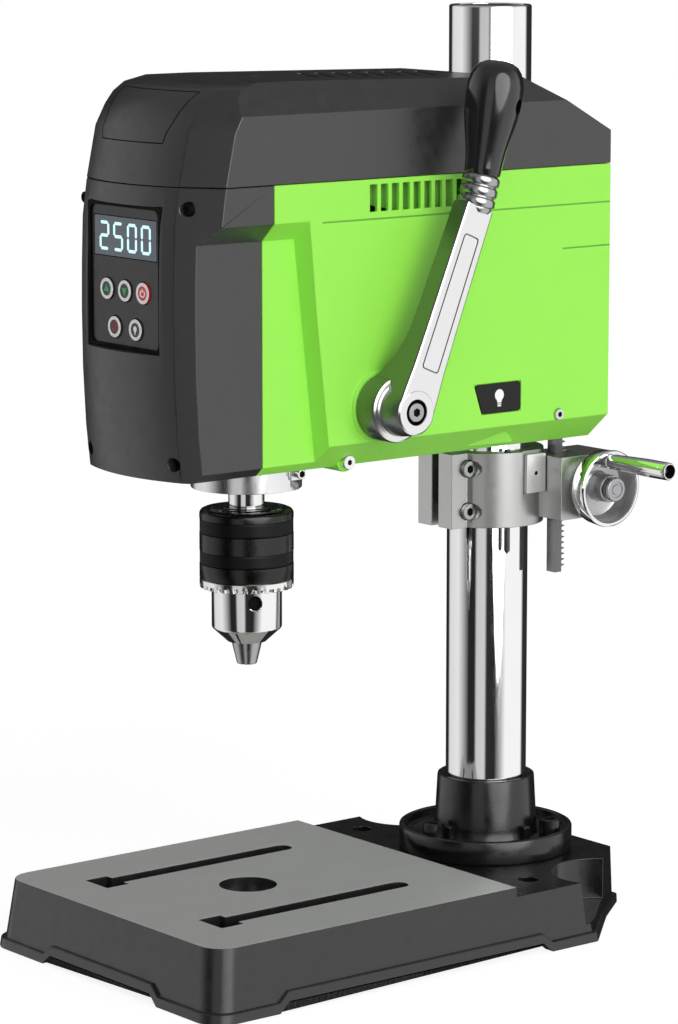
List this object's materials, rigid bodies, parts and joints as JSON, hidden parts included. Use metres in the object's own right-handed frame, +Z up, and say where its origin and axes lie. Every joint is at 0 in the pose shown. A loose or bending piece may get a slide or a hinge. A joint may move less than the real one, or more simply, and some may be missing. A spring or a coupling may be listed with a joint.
{
  "type": "bench drill press",
  "caption": "Mini bench drill press: slotted cast base, chromed column, rack-lifted belt-drive head with display and buttons, feed lever, and a keyed three-jaw chuck.",
  "frame": {"origin": "on the floor under the feet, on the machine's midplane, 165 mm ahead of the base's rear edge; that is within 3 mm of the middle of the footprint, as the crank reaches past the base on the right", "axes": "+Z up along the column, -Y towards the operator and the control panel, +X towards the feed lever and the crank"},
  "size_m": [0.2089, 0.324, 0.503],
  "materials": {
    "cast_black": "satin black enamel on cast iron",
    "black_plastic": "satin charcoal, finely textured",
    "green_plastic": "semi-gloss bright green",
    "panel_black": "gloss black film",
    "display_glass": "clear window over a grey display",
    "button_dark": "gloss, with a white ring",
    "button_red": "gloss red, with a white ring",
    "chrome": "polished chrome plate",
    "steel": "turned and ground steel",
    "dark_steel": "blackened steel",
    "aluminium": "machined and cast",
    "black_rubber": "matt belt rubber",
    "grip_black": "high gloss black",
    "board_green": "circuit board",
    "lens_clear": "frosted lens"
  },
  "bodies": {
    "base": {"base_casting": "cast_black", "column_flange": "cast_black", "column_set_screw": "dark_steel", "flange_screw_1": "dark_steel", "flange_screw_2": "dark_steel", "flange_screw_3": "dark_steel"},
    "column": {"column_tube": "chrome", "column_plug": "black_plastic"},
    "bracket": {"lift_bracket": "aluminium", "lift_lock_block": "aluminium", "height_stop_screw": "dark_steel", "clamp_screw_upper": "steel", "clamp_screw_lower": "steel"},
    "crank": {"crank_shaft": "steel", "crank_wheel": "chrome", "crank_nut": "steel", "crank_grip_pin": "steel"},
    "crank_handle": {"crank_grip": "chrome"},
    "head": {"right_shell": "green_plastic", "left_shell": "green_plastic", "front_cover": "black_plastic", "top_cover": "black_plastic", "lighting_plate": "panel_black", "shell_screw_rear": "steel", "shell_screw_front": "steel", "cover_screw_1": "dark_steel", "cover_screw_2": "dark_steel", "cover_screw_3": "dark_steel", "cover_screw_4": "dark_steel", "control_panel": "panel_black", "display_window": "display_glass", "control_board": "board_green", "head_frame": "aluminium", "collar_clamp_screw": "steel", "work_light_lens": "lens_clear", "lift_rack": "dark_steel", "motor_housing": "dark_steel", "drive_belt": "black_rubber"},
    "motor_rotor": {"motor_pulley": "steel"},
    "driven_pulley": {"spindle_pulley": "aluminium"},
    "quill_unit": {"quill": "steel", "lower_bearing": "steel", "upper_bearing": "steel"},
    "spindle": {"spindle_shaft": "steel", "chuck_body": "chrome"},
    "chuck_ring": {"chuck_sleeve": "dark_steel"},
    "jaw_1": {"chuck_jaw_1": "steel"},
    "jaw_2": {"chuck_jaw_2": "steel"},
    "jaw_3": {"chuck_jaw_3": "steel"},
    "feed_lever": {"lever_arm": "chrome", "feed_shaft": "steel", "lever_screw": "steel", "lever_ferrule": "chrome", "lever_grip": "grip_black"},
    "speed_up_button": {"button_speed_up": "button_dark"},
    "speed_down_button": {"button_speed_down": "button_dark"},
    "power_button": {"button_power": "button_red"},
    "start_button": {"button_start": "button_red"},
    "light_button": {"button_light": "button_dark"}
  },
  "joints": [
    {"name": "column_swivel", "type": "hinge", "parent": "base", "child": "column", "pos_m": [0, 0.108, 0.05], "axis": [0, 0, 1], "range_deg": [-180, 180]},
    {"name": "bracket_slide", "type": "slide", "parent": "column", "child": "bracket", "axis": [0, 0, 1], "range_m": [-0.07, 0.06]},
    {"name": "head_lift", "type": "slide", "parent": "bracket", "child": "head", "axis": [0, 0, 1], "range_m": [-0.005, 0.045]},
    {"name": "crank_turn", "type": "hinge", "parent": "bracket", "child": "crank", "pos_m": [0.03, 0.145, 0.24], "axis": [1, 0, 0], "range_deg": [-325, 40]},
    {"name": "crank_grip_spin", "type": "hinge", "parent": "crank", "child": "crank_handle", "pos_m": [0.08, 0.145, 0.2552], "axis": [1, 0, 0], "continuous": true},
    {"name": "motor_spin", "type": "hinge", "parent": "head", "child": "motor_rotor", "pos_m": [0, 0.032, 0.394], "axis": [0, 0, 1], "continuous": true},
    {"name": "pulley_spin", "type": "hinge", "parent": "head", "child": "driven_pulley", "pos_m": [0, -0.06, 0.394], "axis": [0, 0, 1], "continuous": true},
    {"name": "quill_feed", "type": "slide", "parent": "head", "child": "quill_unit", "axis": [0, 0, -1], "range_m": [0, 0.05], "stiffness_N_per_m": 700, "springref_m": -0.07},
    {"name": "spindle_spin", "type": "hinge", "parent": "quill_unit", "child": "spindle", "pos_m": [0, -0.06, 0.2433], "axis": [0, 0, 1], "continuous": true},
    {"name": "chuck_ring_turn", "type": "hinge", "parent": "spindle", "child": "chuck_ring", "pos_m": [0, -0.06, 0.2433], "axis": [0, 0, 1], "range_deg": [0, 1440]},
    {"name": "jaw_slide_1", "type": "slide", "parent": "spindle", "child": "jaw_1", "axis": [0.2419, 0, 0.9703], "range_m": [0, 0.018]},
    {"name": "jaw_slide_2", "type": "slide", "parent": "spindle", "child": "jaw_2", "axis": [-0.121, 0.2095, 0.9703], "range_m": [0, 0.018]},
    {"name": "jaw_slide_3", "type": "slide", "parent": "spindle", "child": "jaw_3", "axis": [-0.121, -0.2095, 0.9703], "range_m": [0, 0.018]},
    {"name": "lever_turn", "type": "hinge", "parent": "head", "child": "feed_lever", "pos_m": [0.07, -0.018, 0.3], "axis": [1, 0, 0], "range_deg": [-1, 134]},
    {"name": "press_speed_up", "type": "slide", "parent": "head", "child": "speed_up_button", "axis": [0, 1, 0], "range_m": [0, 0.0008], "stiffness_N_per_m": 800, "springref_m": -0.0005},
    {"name": "press_speed_down", "type": "slide", "parent": "head", "child": "speed_down_button", "axis": [0, 1, 0], "range_m": [0, 0.0008], "stiffness_N_per_m": 800, "springref_m": -0.0005},
    {"name": "press_power", "type": "slide", "parent": "head", "child": "power_button", "axis": [0, 1, 0], "range_m": [0, 0.0008], "stiffness_N_per_m": 800, "springref_m": -0.0005},
    {"name": "press_start", "type": "slide", "parent": "head", "child": "start_button", "axis": [0, 1, 0], "range_m": [0, 0.0008], "stiffness_N_per_m": 800, "springref_m": -0.0005},
    {"name": "press_light", "type": "slide", "parent": "head", "child": "light_button", "axis": [0, 1, 0], "range_m": [0, 0.0008], "stiffness_N_per_m": 800, "springref_m": -0.0005}
  ],
  "couplings": [
    {"joint": "crank_turn", "follows": "head_lift", "rad_per_m": -125},
    {"joint": "lever_turn", "follows": "quill_feed", "rad_per_m": 46.296},
    {"joint": "pulley_spin", "follows": "spindle_spin", "ratio": 1},
    {"joint": "motor_spin", "follows": "spindle_spin", "ratio": 1.8696},
    {"joint": "jaw_slide_1", "follows": "chuck_ring_turn", "m_per_rad": 0.0007},
    {"joint": "jaw_slide_2", "follows": "chuck_ring_turn", "m_per_rad": 0.0007},
    {"joint": "jaw_slide_3", "follows": "chuck_ring_turn", "m_per_rad": 0.0007}
  ]
}
